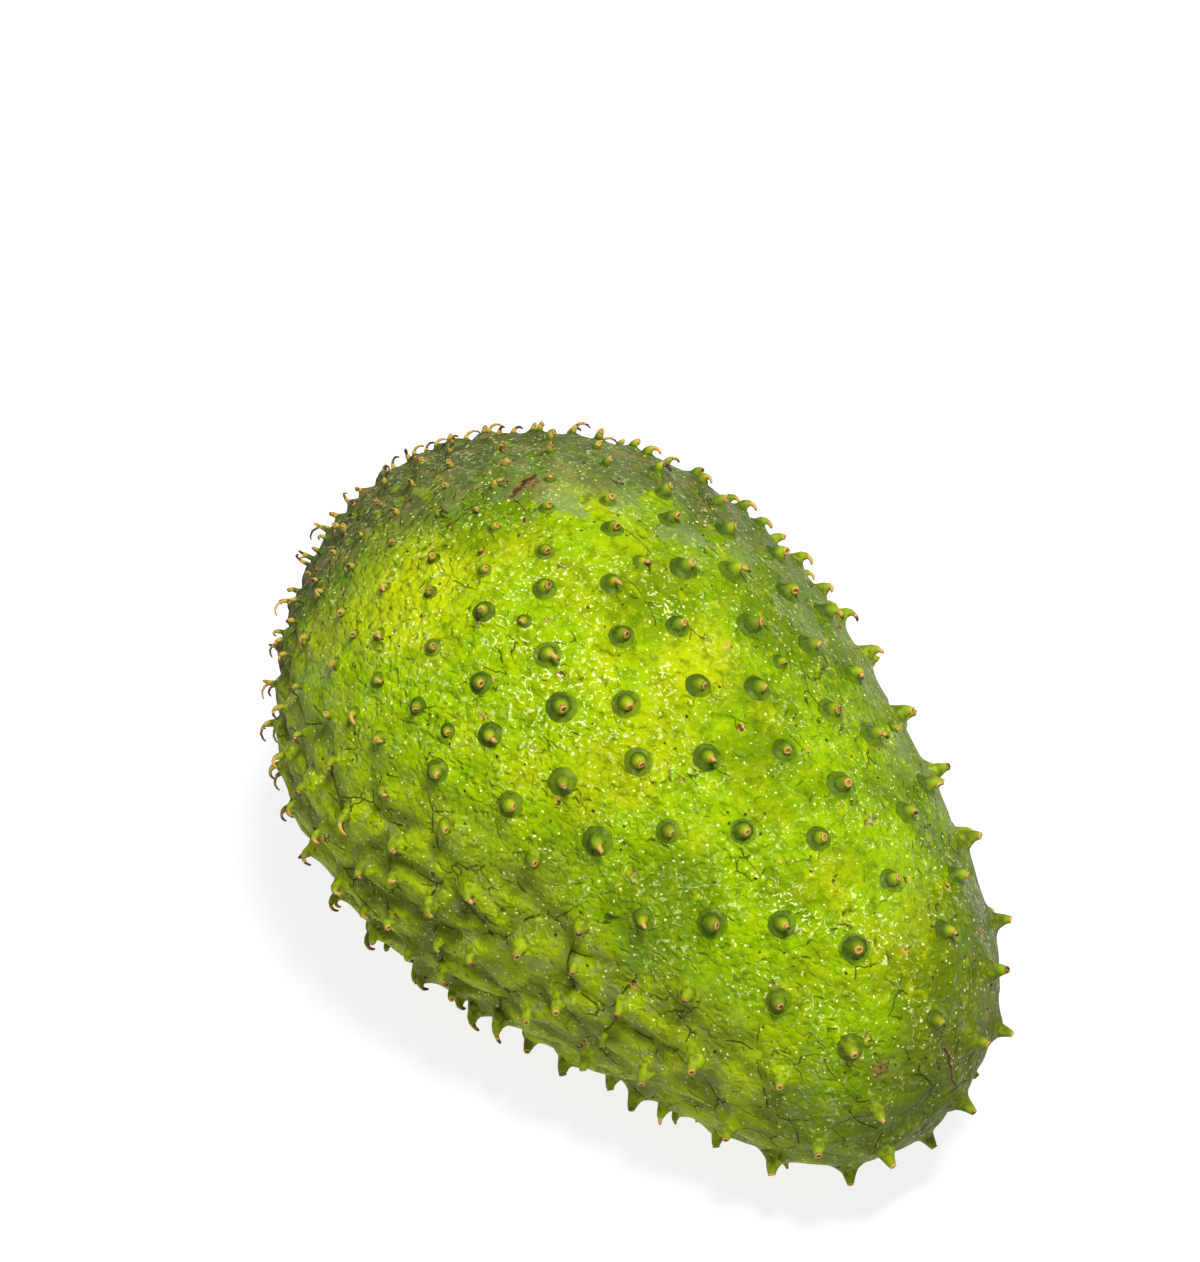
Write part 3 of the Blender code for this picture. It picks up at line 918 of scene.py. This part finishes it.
    # Pimples and worm-like wrinkles, which give the skin its glitter. The discs have none.
    rough = (1.0 - disc) * (1.0 - 0.7 * bloom_and_sheen) * (1.0 - 0.3 * side.step(0.45, 0.95))
    bent = shader.warped(0.0014, 0.0007)
    domes = shader.grains(0.0017, vector=bent)[0]
    height = (0.6 - meander * meander * 13.0 - domes * domes * 1.5) * rough
    height = height * (0.45 + 0.9 * shader.clouds(0.007, offset=6.0)) * (0.4 + 0.6 * calm)
    height = height - lines * 0.5 - speck * 0.3
    normal = shader.bump(height, 0.00050)
    normal = shader.bump(shader.clouds(0.0035, detail=2.0, vector=streaky) * (1.0 - disc), 0.0002, normal)

    dull = scab.greatest(speck).greatest(blot).greatest(disc * 0.6).greatest(bloom_and_sheen)
    dull = dull.greatest(side.step(0.35, 0.90) * 0.75).greatest(film_sheen).greatest(far_shade).greatest(from_stalk.step(80.0, 55.0))
    shader.set(base_color=skin, roughness=0.09 + 0.61 * dull, normal=normal)
    shader.surface.inputs["IOR"].default_value = 1.5
    shader.surface.inputs["Specular IOR Level"].default_value = 0.06
    shader.surface.inputs["Specular Tint"].default_value = (1.0, 1.0, 0.75, 1.0)
    return shader


# ---------------------------------------------------------------- the spines

CONE_SIDES = 9
CONE_ROWS = (  # (height, radius) in millimetres at full girth
    (-0.80, 3.50),
    (0.12, 2.80),
    (0.85, 2.08),
    (1.80, 1.45),
    (2.75, 0.96),
    (3.30, 0.60),
)
BROKEN_ROWS = (
    (-0.80, 3.50),
    (0.12, 2.85),
    (0.85, 2.14),
    (1.80, 1.54),
    (2.70, 1.12),
    (3.10, 0.80),
)
BEAK_SIDES = 6
BEAK_ROWS = (  # (share of the dried tip's length, share of the neck's radius)
    (-0.20, 0.70),
    (-0.08, 0.92),
    (0.20, 0.88),
    (0.50, 0.74),
    (0.78, 0.60),
    (0.97, 0.36),
)
STUMP_ROWS = (
    (-0.28, 1.10),
    (-0.14, 1.45),
    (0.02, 1.50),
    (0.12, 1.34),
    (0.10, 0.86),
    (-0.10, 0.62),
)
BEND_START = 0.22  # of the neck's height
FULL_BEND = math.radians(150)
LEAST_BEND = math.radians(10)
BEND_RATE = 1.1
BEAK_START = 0.0032
THIN_NECK = 0.35  # the neck's girth changes only by this power of the base's


def spine_line(spines, spine, reach):
    """The middle of a spine at each reach along it, and its heading there."""
    start = BEND_START * spines.neck_height
    end = BEAK_START + spines.beak * spine.curl
    most = LEAST_BEND + (FULL_BEND - LEAST_BEND) * spine.hook
    steps = np.linspace(0, end, 49)
    heading = most * np.clip((steps - start) / (end - start), 0, 1) ** BEND_RATE
    rise = np.concatenate([[0], np.cumsum(np.cos(heading[:-1]) * np.diff(steps))])
    run = np.concatenate([[0], np.cumsum(np.sin(heading[:-1]) * np.diff(steps))])
    inside = np.minimum(reach, 0)
    return (
        np.interp(reach, steps, rise) + inside,
        np.interp(reach, steps, run),
        np.interp(reach, steps, heading),
    )


def bent(spines, spine, template):
    """A template's points carried onto a spine: its Z runs along the spine's curved middle."""
    reach = template[:, 2] + np.maximum(template[:, 2] - BEAK_START, 0) * (spine.curl - 1)
    rise, run, heading = spine_line(spines, spine, reach)
    lean, bend = np.array(spine.lean), np.array(spine.bend)
    side = np.cross(lean, bend)
    up_neck = np.clip(template[:, 2] / BEAK_START, 0, 1)
    girth = (spine.wide ** (1 - (1 - THIN_NECK) * up_neck))[:, None]
    turned_out = np.cos(heading)[:, None] * bend - np.sin(heading)[:, None] * lean
    middle = rise[:, None] * lean + run[:, None] * bend
    around = (template[:, :1] * turned_out + template[:, 1:2] * side) * girth
    points = np.array(spine.place) + spine.grown * middle + around
    points[:, 2] = np.maximum(points[:, 2], 0.0)
    return points


def on_axis(rows):
    """A profile closed at both ends by a point on the axis."""
    rows = list(rows)
    return [(0.0, rows[0][1]), *rows, (0.0, rows[-1][1])]


def spines_piece(context):
    spines = context.scene.soursop_spines
    standing = standing_spines(context)[1]
    templates = {}
    for broken, rows in ((False, CONE_ROWS), (True, BROKEN_ROWS)):
        profile = [(radius / 1000, height / 1000) for height, radius in rows]
        templates[broken] = turned(on_axis(profile), CONE_SIDES)
    straights = [coordinates(templates[spine.broken]) for spine in standing]
    points = [bent(spines, spine, straight) for spine, straight in zip(standing, straights)]
    mesh = repeated("spines", [templates[spine.broken] for spine in standing], points)
    store(mesh, "rise", np.concatenate(straights)[:, 2] / BEAK_START)
    counts = [len(straight) for straight in straights]
    for name in ("luck", "flank", "crowd"):
        store(mesh, name, np.repeat([getattr(spine, name) for spine in standing], counts))
    return finished_object("spines", mesh, spine_material(context.scene.soursop_finish))


def dried_tips_piece(context):
    spines = context.scene.soursop_spines
    standing = standing_spines(context)[1]
    templates = {}
    for broken, rows in ((False, BEAK_ROWS), (True, STUMP_ROWS)):
        profile = [(spines.neck_radius * wide, BEAK_START + spines.beak * share) for share, wide in rows]
        templates[broken] = turned(on_axis(profile), BEAK_SIDES)
    points, rise, luck = [], [], []
    for spine in standing:
        straight = coordinates(templates[spine.broken])
        points.append(bent(spines, spine, straight))
        share = (straight[:, 2] - BEAK_START) / spines.beak
        inner = np.hypot(straight[:, 0], straight[:, 1]) < 0.7 * spines.neck_radius
        if spine.broken:
            share = np.where(inner & (share > -0.12), 2.0, 0.15 + share)
        rise.append(share)
        luck.append(np.full(len(straight), spine.luck))
    mesh = repeated("dried_tips", [templates[spine.broken] for spine in standing], points)
    store(mesh, "rise", np.concatenate(rise))
    store(mesh, "luck", np.concatenate(luck))
    return finished_object("dried_tips", mesh, dried_material(context.scene.soursop_finish))


def spine_material(finish):
    shader = Shader("green_spine")
    rise = shader.attribute("rise")[0]
    luck = shader.attribute("luck")[0]
    mottle = shader.clouds(0.0016, detail=2.0)
    flank = shader.attribute("flank")[0]
    crowd = shader.attribute("crowd")[0]
    fresh = (luck * 17.0).math("FRACT")
    root = shader.mix(flank * (1.0 - crowd) * 0.8, finish.disc, shader.mix(mottle.step(0.35, 0.65), finish.olive, finish.pad))
    forward, sideways = shader.parts(shader.object_place)[:2]
    # Painted shade at the blossom end, as on the skin.
    apex_shade = (forward + sideways * 0.5).step(0.078, 0.104)
    root = shader.mix(apex_shade * 0.7, root, finish.apex_shade)
    green = shader.mix(rise.step(0.30, 0.85) * (0.5 + 0.5 * fresh), root, finish.spine)
    green = shader.mix((mottle.step(0.45, 0.70)) * 0.25, green, finish.green)
    green = shader.mix(rise.step(0.45, 1.0) * (0.15 + 0.45 * fresh) * (1.0 - 0.5 * flank), green, finish.yellow)
    green = shader.mix(rise.step(0.90, 1.02) * 0.8, green, finish.tan)
    green = shader.mix(crowd * (rise + (mottle - 0.5) * 1.5).step(0.30, 0.80) * 0.8, green, finish.tan)
    ribs = shader.clouds(0.0011, detail=2.0, warp=0.5)
    shader.set(
        base_color=green,
        roughness=0.52 + 0.15 * mottle,
        normal=shader.bump(ribs, 0.00012),
    )
    shader.surface.inputs["Specular IOR Level"].default_value = 0.12
    return shader


def dried_material(finish):
    shader = Shader("dried_tip")
    rise = shader.attribute("rise")[0]
    luck = shader.attribute("luck")[0]
    mottle = shader.clouds(0.0008, detail=3.0)
    aged = (luck * 23.0).math("FRACT")
    dark = (rise + (mottle - 0.5) * 1.2 + (aged - 0.5) * 0.9).step(0.40, 0.90)
    collar = (rise.step(-0.10, 0.0) * rise.step(0.26, 0.06)) * aged.step(0.25, 0.55) * 0.8
    dried = shader.mix(rise.step(0.02, -0.12), finish.tan, finish.spine)
    dried = shader.mix(dark.greatest(collar), dried, finish.brown)
    shader.set(
        base_color=dried,
        roughness=0.62,
        normal=shader.bump(shader.clouds(0.0005, detail=3.0), 0.00010),
    )
    shader.surface.inputs["Specular IOR Level"].default_value = 0.3
    return shader


# ---------------------------------------------------------------- the stalk scar

SCAR_SIDES = 48
SCAR_ROWS = (  # (radius, height above the funnel's floor) in millimetres
    (0.0, -1.5),
    (5.6, -1.5),
    (5.5, 0.4),
    (5.0, 1.6),
    (4.7, 2.6),
    (4.2, 3.2),
    (3.6, 3.3),
    (3.1, 2.9),
    (2.6, 2.7),
    (2.0, 2.9),
    (1.5, 2.7),
    (0.8, 2.2),
    (0.0, 2.1),
)
SCAR_ROUGHNESS = 0.00045


def stalk_scar_piece(context):
    """The corky stub where the stalk broke away, ringed and cracked."""
    fruit = Fruit(context.scene.soursop_body)
    here = fruit.surface(np.array([-1.0, 0, 0]))
    mesh = turned([(radius / 1000, height / 1000) for radius, height in SCAR_ROWS], SCAR_SIDES)
    straight = coordinates(mesh)
    angle = np.arctan2(straight[:, 1], straight[:, 0])
    spread = np.hypot(straight[:, 0], straight[:, 1])
    fluting = 0.035 * np.sin(9 * angle) + 0.03 * np.sin(5 * angle + 1.0) + 0.02 * np.sin(17 * angle)
    straight[:, :2] *= 1 + fluting[:, None] * smooth(0, 0.004, spread)[:, None]
    straight[:, 2] += SCAR_ROUGHNESS * lumps(straight, 0.0014, 3) * smooth(0.0, 0.002, spread)
    normal = Vector(here.normal)
    turn = np.array(Vector((0, 0, 1)).rotation_difference(normal).to_matrix())
    floor = here.place - here.normal * FUNNEL_DEPTH
    mesh.vertices.foreach_set("co", (straight @ turn.T + floor).ravel())
    mesh.update()
    store(mesh, "spread", spread * 1000)
    return finished_object("stalk_scar", mesh, cork_material(context.scene.soursop_finish))


def cork_material(finish):
    shader = Shader("cork")
    spread = shader.attribute("spread")[0]
    grain = shader.clouds(0.0009, detail=4.0, roughness=0.65)
    rings = (spread * 5.5 + (shader.clouds(0.002) - 0.5) * 6.0).math("SINE") * 0.5 + 0.5
    dark = (grain * 0.75 + rings * 0.25).step(0.62, 0.38)
    shade = shader.mix(dark, finish.cork, finish.brown)
    shade = shader.mix(grain.step(0.60, 0.72) * 0.5, shade, finish.tan)
    shader.set(base_color=shade, roughness=0.85, normal=shader.bump(grain + rings * 0.4, 0.0004))
    return shader


# ---------------------------------------------------------------- the stage

CAMERA_TURN = math.radians(45.6)
CAMERA_RISE = math.radians(45.0)
CAMERA_DISTANCE = 1.2
CAMERA_LENS = 150.6
AIM_RIGHT = -0.00888  # the fruit stands right of and below the picture's middle
AIM_UP = 0.03246
FLOOR_SIDE = 6.0
FLOOR_DROP = 0.0002
SKY_STRENGTH = 0.24
FLOOR_GLOW = 0.83
LIGHTS = {  # name: (place, aimed at, size, watts)
    "softbox": ((0.34, -0.05, 1.30), (0.0, 0.0, 0.05), (0.20, 0.46), 27.0),
}


def floor_piece(finish):
    bm = bmesh.new()
    bmesh.ops.create_grid(bm, x_segments=2, y_segments=2, size=FLOOR_SIDE / 2)
    bmesh.ops.translate(bm, vec=(0, 0, -FLOOR_DROP), verts=bm.verts[:])
    mesh = bpy.data.meshes.new("floor")
    bm.to_mesh(mesh)
    bm.free()
    floor = bpy.data.objects.new("floor", mesh)
    bpy.context.scene.collection.objects.link(floor)
    shader = Shader("pale_floor")
    shader.set(base_color=finish.floor, roughness=0.75, emission_color=(1.0, 1.0, 1.0))
    shader.surface.inputs["Emission Strength"].default_value = FLOOR_GLOW
    mesh.materials.append(shader.material)


def soft_lights():
    for name, (place, target, (width, depth), power) in LIGHTS.items():
        light = bpy.data.lights.new(name, "AREA")
        light.shape = "RECTANGLE"
        light.size = width
        light.size_y = depth
        light.energy = power
        lamp = bpy.data.objects.new(name, light)
        lamp.location = place
        lamp.rotation_euler = (Vector(target) - Vector(place)).to_track_quat("-Z", "X").to_euler()
        bpy.context.scene.collection.objects.link(lamp)


def white_sky():
    world = bpy.data.worlds.new("white_studio")
    world.use_nodes = True
    background = world.node_tree.nodes["Background"]
    background.inputs["Color"].default_value = (1.0, 1.0, 1.0, 1.0)
    background.inputs["Strength"].default_value = SKY_STRENGTH
    bpy.context.scene.world = world


def camera(body):
    """Looks down on the fruit from its blossom end's side."""
    flat = math.cos(CAMERA_RISE)
    back = Vector((math.sin(CAMERA_TURN) * flat, -math.cos(CAMERA_TURN) * flat, math.sin(CAMERA_RISE)))
    right = Vector((math.cos(CAMERA_TURN), math.sin(CAMERA_TURN), 0))
    up = back.cross(right)
    middle = Vector((body.centre_ahead, 0, body.centre_height))
    aim = (-back + AIM_RIGHT * right + AIM_UP * up).normalized()
    level = up.cross(-aim).normalized()
    place = middle + CAMERA_DISTANCE * back
    data = bpy.data.cameras.new("camera")
    data.lens = CAMERA_LENS
    seen = bpy.data.objects.new("camera", data)
    axes = Matrix((level, (-aim).cross(level), -aim)).transposed()
    seen.matrix_world = Matrix.Translation(place) @ axes.to_4x4()
    bpy.context.scene.collection.objects.link(seen)
    bpy.context.scene.camera = seen


# ---------------------------------------------------------------- operators and panel


class SOURSOP_OT_skin(bpy.types.Operator):
    """Builds the fruit's skin, with its carpels, seams and funnel"""

    bl_idname = "soursop.skin"
    bl_label = "Skin"

    def execute(self, context):
        skin_piece(context)
        return {"FINISHED"}


class SOURSOP_OT_spines(bpy.types.Operator):
    """Builds the green part of every spine"""

    bl_idname = "soursop.spines"
    bl_label = "Spines"

    def execute(self, context):
        spines_piece(context)
        return {"FINISHED"}


class SOURSOP_OT_dried_tips(bpy.types.Operator):
    """Builds the dried hook or broken stump at the end of every spine"""

    bl_idname = "soursop.dried_tips"
    bl_label = "Dried tips"

    def execute(self, context):
        dried_tips_piece(context)
        return {"FINISHED"}


class SOURSOP_OT_stalk_scar(bpy.types.Operator):
    """Builds the corky scar that the stalk left"""

    bl_idname = "soursop.stalk_scar"
    bl_label = "Stalk scar"

    def execute(self, context):
        stalk_scar_piece(context)
        return {"FINISHED"}


class SOURSOP_OT_stage(bpy.types.Operator):
    """Builds the pale floor, the light and the camera"""

    bl_idname = "soursop.stage"
    bl_label = "Stage"

    def execute(self, context):
        floor_piece(context.scene.soursop_finish)
        soft_lights()
        white_sky()
        camera(context.scene.soursop_body)
        context.scene.view_settings.view_transform = "Standard"
        return {"FINISHED"}


class SOURSOP_PT_panel(bpy.types.Panel):
    """The soursop's sizes, colours and pieces"""

    bl_label = "Soursop"
    bl_idname = "SOURSOP_PT_panel"
    bl_space_type = "VIEW_3D"
    bl_region_type = "UI"
    bl_category = "Soursop"

    def draw(self, context):
        for group in GROUPS:
            box = self.layout.box()
            settings = getattr(context.scene, group)
            for name in settings.__annotations__:
                box.prop(settings, name)
        for operator in OPERATORS:
            self.layout.operator(operator.bl_idname)


GROUPS = {"soursop_body": BodyShape, "soursop_spines": SpineShape, "soursop_finish": Finish}
OPERATORS = (
    SOURSOP_OT_skin,
    SOURSOP_OT_spines,
    SOURSOP_OT_dried_tips,
    SOURSOP_OT_stalk_scar,
    SOURSOP_OT_stage,
)


def register():
    for kind in (*GROUPS.values(), *OPERATORS, SOURSOP_PT_panel):
        bpy.utils.register_class(kind)
    for name, kind in GROUPS.items():
        setattr(bpy.types.Scene, name, PointerProperty(type=kind))


def unregister():
    for name in GROUPS:
        delattr(bpy.types.Scene, name)
    for kind in (SOURSOP_PT_panel, *reversed(OPERATORS), *reversed(GROUPS.values())):
        bpy.utils.unregister_class(kind)


def main():
    register()
    bpy.ops.soursop.skin()
    bpy.ops.soursop.spines()
    bpy.ops.soursop.dried_tips()
    bpy.ops.soursop.stalk_scar()
    bpy.ops.soursop.stage()


if __name__ == "__main__":
    main()
